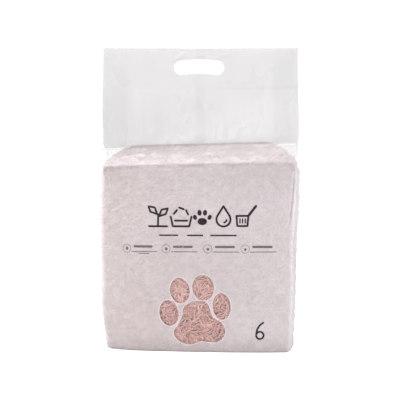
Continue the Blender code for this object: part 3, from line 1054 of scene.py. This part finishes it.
def rodMesh():
    # a short rod with blunt rounded ends, a little bent
    radius, length, sides = pellets["radius"], pellets["length"], pellets["sides"]
    stations = [(-0.5, 0.6), (-0.46, 0.97), (0.0, 1.0), (0.46, 0.97), (0.5, 0.6)]
    points, faces = [], []
    for along, wide in stations:
        bend = 0.0014 * (0.25 - along ** 2)
        for i in range(sides):
            turn = 2 * math.pi * i / sides
            reach = radius * wide
            points.append((along * length, bend + reach * math.cos(turn), reach * math.sin(turn)))
    for s in range(len(stations) - 1):
        for i in range(sides):
            j = (i + 1) % sides
            faces.append((s * sides + i, s * sides + j, (s + 1) * sides + j, (s + 1) * sides + i))
    faces.append(tuple(range(sides)))
    faces.append(tuple(reversed(range((len(stations) - 1) * sides, len(stations) * sides))))
    mesh = newMesh("rod", points, faces)
    bm = bmesh.new()
    bm.from_mesh(mesh)
    bmesh.ops.recalc_face_normals(bm, faces=bm.faces)
    bm.to_mesh(mesh)
    bm.free()
    mesh.shade_smooth()
    return mesh


def pelletTree(material, rod):
    tree, given, put = newGroup("scatterPellets", [
        ("Geometry", "Geometry"), ("Density", "Float", pellets["density"]),
        ("Spacing", "Float", pellets["spacing"]), ("Depth", "Float", 0.0),
        ("Tilt", "Float", pellets["tilt"]), ("Seed", "Int", 1)],
        [("Geometry", "Geometry")], "GeometryNodeTree")
    spread = wire(tree, "GeometryNodeDistributePointsOnFaces", {
        "Mesh": given["Geometry"], "Distance Min": given["Spacing"], "Density Max": given["Density"],
        "Seed": given["Seed"]}, distribute_method="POISSON")

    def chance(low, high, step):
        inputs = {2: low, 3: high, "Seed": plus(tree, given["Seed"], step)}
        return wire(tree, "FunctionNodeRandomValue", inputs, data_type="FLOAT").outputs[1]

    sink = times(tree, plus(tree, given["Depth"], chance(0.0, pellets["layerDepth"], 11)), -1.0)
    inward = wire(tree, "ShaderNodeVectorMath", {0: spread.outputs["Normal"], "Scale": sink},
                  operation="SCALE")
    moved = wire(tree, "GeometryNodeSetPosition", {"Geometry": spread.outputs["Points"],
                                                   "Offset": inward.outputs[0]})
    drift = wire(tree, "ShaderNodeTexNoise", {"Scale": pellets["swirl"], "Detail": 1.0, "W": given["Seed"]},
                 noise_dimensions="4D")
    heading = plus(tree, times(tree, drift.outputs[0], 4 * math.pi), chance(-0.5, 0.5, 13))
    lean = wire(tree, "ShaderNodeCombineXYZ", {
        "X": chance(0.0, 2 * math.pi, 12), "Z": heading,
        "Y": chance(times(tree, given["Tilt"], -1.0), given["Tilt"], 14)})
    own = wire(tree, "FunctionNodeEulerToRotation", {0: lean.outputs[0]})
    turn = wire(tree, "FunctionNodeRotateRotation", {0: spread.outputs["Rotation"], 1: own.outputs[0]},
                rotation_space="LOCAL")
    shape = wire(tree, "GeometryNodeObjectInfo", {"Object": rod})
    size = wire(tree, "ShaderNodeCombineXYZ", {"X": chance(0.55, 1.2, 15), "Y": chance(0.88, 1.1, 16),
                                               "Z": chance(0.88, 1.1, 16)})
    rods = wire(tree, "GeometryNodeInstanceOnPoints", {
        "Points": moved.outputs[0], "Instance": shape.outputs["Geometry"], "Rotation": turn.outputs[0],
        "Scale": size.outputs[0]})
    tinted = wire(tree, "GeometryNodeStoreNamedAttribute", {"Geometry": rods.outputs[0], "Name": "tint",
                                                            "Value": chance(0.0, 1.0, 17)},
                  data_type="FLOAT", domain="INSTANCE")
    real = wire(tree, "GeometryNodeRealizeInstances", {"Geometry": tinted.outputs[0]})
    done = wire(tree, "GeometryNodeSetMaterial", {"Geometry": real.outputs[0], "Material": material})
    feed(tree, put["Geometry"], done.outputs[0])
    return tree


def pelletBed(grid):
    # the part of the front behind the window, as a sheet for the rods to lie on
    n = grid["counts"][0]
    rows = int((grid["z"][:, n // 2] < 0.12).sum())
    window = pawDistance(grid["x"][:rows, :n], grid["z"][:rows, :n])
    keep = window < pellets["margin"]
    points = gridPoints(grid)[:rows, :n]
    points[..., 1] += pellets["radius"] * 1.12 + 0.0004
    index = {}
    faces = []
    for r in range(rows - 1):
        for c in range(n - 1):
            corners = [(r, c), (r, c + 1), (r + 1, c + 1), (r + 1, c)]
            if all(keep[a] for a in corners):
                faces.append([index.setdefault(a, len(index)) for a in corners])
    return newMesh("pelletBed", [points[a].tolist() for a in index], faces)


def buildPellets(grid, material):
    rod = addObject("rod", rodMesh())
    tree = pelletTree(material, rod)
    sockets = {s.name: s.identifier for s in tree.interface.items_tree if s.in_out == "INPUT"}
    bed = pelletBed(grid)
    parts = []
    for layer in range(pellets["layers"]):
        obj = addObject("windowPellets", bed.copy())
        scatter = obj.modifiers.new("scatter", "NODES")
        scatter.node_group = tree
        scatter[sockets["Depth"]] = layer * pellets["layerDepth"]
        scatter[sockets["Seed"]] = 7 + 31 * layer
        settle(obj)
        parts.append(obj)
    bm = bmesh.new()
    for obj in parts:
        bm.from_mesh(obj.data)
    mesh = bpy.data.meshes.new("windowPellets")
    bm.to_mesh(mesh)
    bm.free()
    for obj in parts + [rod]:
        bpy.data.objects.remove(obj)
    tileRods(mesh)
    mesh.shade_smooth()
    return addObject("windowPellets", mesh, material)


def tileRods(mesh):
    # each rod gets its own square of the UV map
    perRod = len(rodMesh().loops)
    ownPoints = 5 * pellets["sides"]
    count = len(mesh.loops) // perRod
    across = math.ceil(math.sqrt(count))
    verts = np.zeros(len(mesh.loops), int)
    mesh.loops.foreach_get("vertex_index", verts)
    local = verts % ownPoints
    tile = verts // ownPoints
    u = (local // pellets["sides"] + 0.5) / 5.6
    v = (local % pellets["sides"] + 0.5) / (pellets["sides"] + 1)
    uv = np.stack([(tile % across + u) / across, (tile // across + v) / across], 1)
    setUvs(mesh, uv)


# ---- print ----


ink = {
    "lift": 0.00010,
    "thickness": 0.00006,
    "step": 0.0012,
    "titleZ": 0.1640,
    "barsZ": 0.1412,
    "iconZ": 0.1250,
    "arcStep": 0.0009,
    "symbolSize": 0.0262,
    "stroke": 0.0024,
    "dark": [(0.020, 0.014, 0.022, 1), (0.036, 0.028, 0.036, 1)],
    "grey": [(0.16, 0.13, 0.145, 1), (0.24, 0.20, 0.215, 1)],
}


def arc(centre, radius, begin, finish, step=ink["arcStep"]):
    count = max(4, int(abs(finish - begin) * radius * math.pi / 180 / step))
    turns = np.radians(np.linspace(begin, finish, count + 1))
    return [(centre[0] + radius * math.cos(t), centre[1] + radius * math.sin(t)) for t in turns]


def slanted(x, z, degrees, reach):
    # a straight stroke by its middle, angle and half length
    wide, tall = reach * math.cos(math.radians(degrees)), reach * math.sin(math.radians(degrees))
    return [(x - wide, z - tall), (x + wide, z + tall)]


def strokeShape(path, width, closed=False):
    # a ribbon of even width round a path, with round ends
    points = [np.array(path[0], float)]
    for point in path[1:]:
        gap = np.array(point, float) - points[-1]
        count = max(1, int(np.hypot(*gap) / ink["step"]))
        start = points[-1]
        points += [start + gap * (i + 1) / count for i in range(count)]
    points = np.array(points)
    along = np.gradient(points, axis=0)
    along /= np.maximum(np.linalg.norm(along, axis=1, keepdims=True), 1e-9)
    if closed:
        along[0] = along[-1] = along[0] + along[-1]
        along[[0, -1]] /= np.linalg.norm(along[0])
    side = np.stack([-along[:, 1], along[:, 0]], 1) * width / 2
    rows = [[p - s, p, p + s] for p, s in zip(points, side)]
    if not closed:
        caps = []
        for p, a, s, way in ((points[0], along[0], side[0], -1), (points[-1], along[-1], side[-1], 1)):
            caps.append([[p - s * w + a * way * width / 2 * r, p + a * way * width / 2 * r,
                          p + s * w + a * way * width / 2 * r] for r, w in ((0.55, 0.83), (0.92, 0.38))])
        rows = caps[0][::-1] + rows + caps[1]
    flat = [q for row in rows for q in row]
    faces = []
    for r in range(len(rows) - 1):
        for k in (0, 1):
            faces.append((3 * r + k, 3 * r + 3 + k, 3 * r + 4 + k, 3 * r + 1 + k))
    return flat, faces


def blobShape(centre, wide, tall, lean=0.0, rings=4, sides=24):
    flat, faces = [np.array(centre, float)], []
    turn = math.radians(lean)
    for r in range(1, rings + 1):
        for i in range(sides):
            t = 2 * math.pi * i / sides
            a, b = wide * r / rings * math.cos(t), tall * r / rings * math.sin(t)
            flat.append(np.array([centre[0] + a * math.cos(turn) - b * math.sin(turn),
                                  centre[1] + a * math.sin(turn) + b * math.cos(turn)]))
    for i in range(sides):
        j = (i + 1) % sides
        faces.append((0, 1 + j, 1 + i))
        for r in range(rings - 1):
            low, high = 1 + r * sides, 1 + (r + 1) * sides
            faces.append((low + i, low + j, high + j, high + i))
    return flat, faces


def smallPaw(x, z, size):
    shapes = [blobShape((x, z - 0.30 * size), 0.36 * size, 0.27 * size)]
    for side in (-1, 1):
        for across, up, wide, tall, lean in ((0.56, 0.02, 0.15, 0.20, -24), (0.21, 0.36, 0.16, 0.22, -8)):
            centre = (x + side * across * size, z + up * size)
            shapes.append(blobShape(centre, wide * size, tall * size, side * lean))
    return shapes


shareStep = ink["arcStep"] / ink["symbolSize"]

symbols = {                            # each stroke: width, then points as shares of the symbol's size
    "sprout": [
        (ink["stroke"], [(0, -0.45), (0, 0.10)]),
        (ink["stroke"], [(0.04, 0), (0.16, 0.30), (0.46, 0.36), (0.36, 0.10), (0.04, 0)]),
        (ink["stroke"], [(-0.04, 0.10), (-0.16, 0.40), (-0.46, 0.46), (-0.36, 0.20), (-0.04, 0.10)]),
        (ink["stroke"], [(-0.42, -0.46), (0.42, -0.46)]),
    ],
    "tray": [                          # with three pellets over it
        (ink["stroke"], [(-0.48, -0.02), (-0.38, -0.46), (0.38, -0.46), (0.48, -0.02)]),
        (ink["stroke"], [(-0.28, -0.20), (0.28, -0.20)]),
        (ink["stroke"], slanted(-0.26, 0.20, 50, 0.11)),
        (ink["stroke"], slanted(0.02, 0.36, -20, 0.11)),
        (ink["stroke"], slanted(0.28, 0.18, 115, 0.11)),
    ],
    "drop": [
        (ink["stroke"], [(0, 0.46)] + arc((0, -0.14), 0.32, 150, 390, shareStep) + [(0, 0.46)]),
        (0.0020, arc((0, -0.14), 0.15, 280, 350, shareStep)),
    ],
    "scoop": [
        (ink["stroke"], [(-0.44, 0.02), (-0.40, -0.44), (0.06, -0.44), (0.10, 0.02), (-0.44, 0.02)]),
        (0.0030, [(0.10, 0.02), (0.44, 0.46)]),
        (0.0016, [(-0.28, -0.30), (-0.28, -0.12)]),
        (0.0016, [(-0.16, -0.30), (-0.16, -0.12)]),
        (0.0016, [(-0.04, -0.30), (-0.04, -0.12)]),
    ],
}


def symbolShapes(name, x, z):
    size = ink["symbolSize"]
    return [strokeShape([(x + a * size, z + b * size) for a, b in path], width)
            for width, path in symbols[name]]


def bar(x, z, length, width):
    return strokeShape([(x - length / 2, z), (x + length / 2, z)], width)


def six(x, z):
    # the quantity, as a plain number
    tail = arc((x + 0.0113, z - 0.0035), 0.0155, 118, 180)
    bowl = arc((x, z - 0.0050), 0.0044, 180, 540)
    return [strokeShape(tail + bowl, 0.0022)]


def darkShapes():
    shapes = smallPaw(0.0076, ink["titleZ"] - 0.0015, 0.0158)
    for name, x in (("sprout", -0.0460), ("tray", -0.0180), ("drop", 0.0330), ("scoop", 0.0600)):
        shapes += symbolShapes(name, x, ink["titleZ"])
    shapes += [bar(x, ink["barsZ"], length, 0.0018)
               for x, length in ((-0.0330, 0.022), (-0.0010, 0.018), (0.0330, 0.030))]
    return shapes + six(0.0762, 0.0264)


def greyShapes():
    shapes = [bar(-0.0635, 0.1192, 0.0130, 0.0009)]
    for i, x in enumerate((-0.0850, -0.0362, 0.0142, 0.0588)):
        z = ink["iconZ"]
        shapes.append(strokeShape(arc((x, z), 0.0050, 0, 360), 0.0005, closed=True))
        shapes.append(blobShape((x + 0.0003, z - 0.0002 * i), 0.0017, 0.0021 - 0.0002 * i, 30 * i, 3, 16))
        shapes.append(bar(x + 0.0205, z + 0.0025, 0.0214, 0.0028))
        shapes.append(bar(x + 0.0217, z - 0.0036, 0.0310, 0.0009))
    return shapes


def buildPrint(name, shapes, surface, material):
    points, faces = [], []
    for flat, own in shapes:
        base = len(points)
        for x, z in flat:
            hit = surface.ray_cast(Vector((x, -0.2, z)), Vector((0, 1, 0)))
            points.append((x, hit[0].y - ink["lift"], z))
        faces += [tuple(base + v for v in face) for face in own]
    mesh = newMesh(name, points, faces)
    bm = bmesh.new()
    bm.from_mesh(mesh)
    for face in bm.faces:
        face.normal_update()
        if face.normal.y > 0:
            face.normal_flip()
    bm.to_mesh(mesh)
    bm.free()
    mesh.shade_smooth()
    obj = addObject(name, mesh, material)
    thick = obj.modifiers.new("thickness", "SOLIDIFY")
    thick.thickness = ink["thickness"]
    thick.offset = -1
    settle(obj)
    return obj


# ---- room ----


room = {
    "ambient": 0.41,
    "backdrop": 1.05,
    "floorGlow": 0.65,
    "lights": [                        # name, place, target, size, watts
        ("overhead", (-0.25, -0.30, 1.45), (0, 0, 0.2), (1.1, 0.5), 8.3),
        ("left", (-1.6, -0.40, 0.50), (0, 0, 0.18), (0.5, 1.0), 12.0),
        ("right", (1.6, -0.40, 0.50), (0, 0, 0.18), (0.5, 1.0), 12.5),
        ("front", (-0.7, -2.0, 1.0), (0, 0, 0.18), (0.9, 0.7), 9.8),
    ],
}


camera = {"azimuth": 6.0, "elevation": 0.0, "distance": 1.10, "height": 0.1835, "lens": 79.2}


def aim(obj, place, target):
    obj.location = place
    obj.rotation_euler = (Vector(target) - Vector(place)).to_track_quat("-Z", "Y").to_euler()


def addCamera():
    data = bpy.data.cameras.new("camera")
    data.sensor_width = 36
    data.lens = camera["lens"]
    obj = addObject("camera", data)
    turn, rise = math.radians(camera["azimuth"]), math.radians(camera["elevation"])
    back = Vector((math.sin(turn) * math.cos(rise), -math.cos(turn) * math.cos(rise), math.sin(rise)))
    middle = Vector((0, 0, camera["height"]))
    aim(obj, middle + back * camera["distance"], middle)
    bpy.context.scene.camera = obj


def addLight(name, place, target, size, power):
    data = bpy.data.lights.new(name, "AREA")
    data.shape = "RECTANGLE"
    data.size, data.size_y = size
    data.energy = power
    aim(addObject(name, data), place, target)


def addRoom():
    reach = 6.0
    corners = [(-reach, -reach, 0), (reach, -reach, 0), (reach, reach, 0), (-reach, reach, 0)]
    mesh = newMesh("floor", corners, [(0, 1, 2, 3)])
    material, tree, shader = newMaterial("floor", Base_Color=(0.9, 0.9, 0.9, 1), Roughness=0.7)
    shader.inputs["Emission Color"].default_value = (1, 1, 1, 1)
    seen = wire(tree, "ShaderNodeLightPath").outputs["Is Camera Ray"]
    feed(tree, shader.inputs["Emission Strength"], times(tree, seen, room["floorGlow"]))
    addObject("floor", mesh, material)
    world = bpy.data.worlds.new("studio")
    world.use_nodes = True
    tree = world.node_tree
    soft = tree.nodes["Background"]
    soft.inputs["Color"].default_value = (1, 1, 1, 1)
    soft.inputs["Strength"].default_value = room["ambient"]
    wall = wire(tree, "ShaderNodeBackground", {"Color": (1, 1, 1, 1), "Strength": room["backdrop"]})
    path = wire(tree, "ShaderNodeLightPath").outputs
    seen = calc(tree, "MAXIMUM", path["Is Camera Ray"], path["Is Glossy Ray"])
    both = wire(tree, "ShaderNodeMixShader", {0: seen, 1: soft.outputs[0], 2: wall.outputs[0]})
    feed(tree, tree.nodes["World Output"].inputs["Surface"], both.outputs[0])
    bpy.context.scene.world = world
    for light in room["lights"]:
        addLight(*light)
    bpy.context.scene.view_settings.view_transform = "Standard"


# ---- making ----

addCamera()
reliefGroup = pelletReliefGroup()
grainGroup = filmGrainGroup()

filmMesh, filmShape = buildFilm()
film = addObject("bagFilm", filmMesh, filmMaterial(reliefGroup, grainGroup))
cutSlot(film)
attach(film, "root")
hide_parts("bag_film")
print("film done", len(film.data.polygons))

litter = buildLitter(litterMaterial(reliefGroup))
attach(litter, "root")
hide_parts("litter_block")
print("litter block done", len(litter.data.polygons))

rods = buildPellets(filmShape, pelletMaterial())
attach(rods, "root")
print("window pellets done", len(rods.data.polygons))

surface = BVHTree.FromPolygons([v.co for v in film.data.vertices], [p.vertices for p in film.data.polygons])
darkInk = inkMaterial("darkInk", *ink["dark"])
greyInk = inkMaterial("greyInk", *ink["grey"])
for name, shapes, material in (("darkPrint", darkShapes(), darkInk), ("greyPrint", greyShapes(), greyInk)):
    printed = buildPrint(name, shapes, surface, material)
    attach(printed, "root")
print("print done")

addRoom()
print("room done")
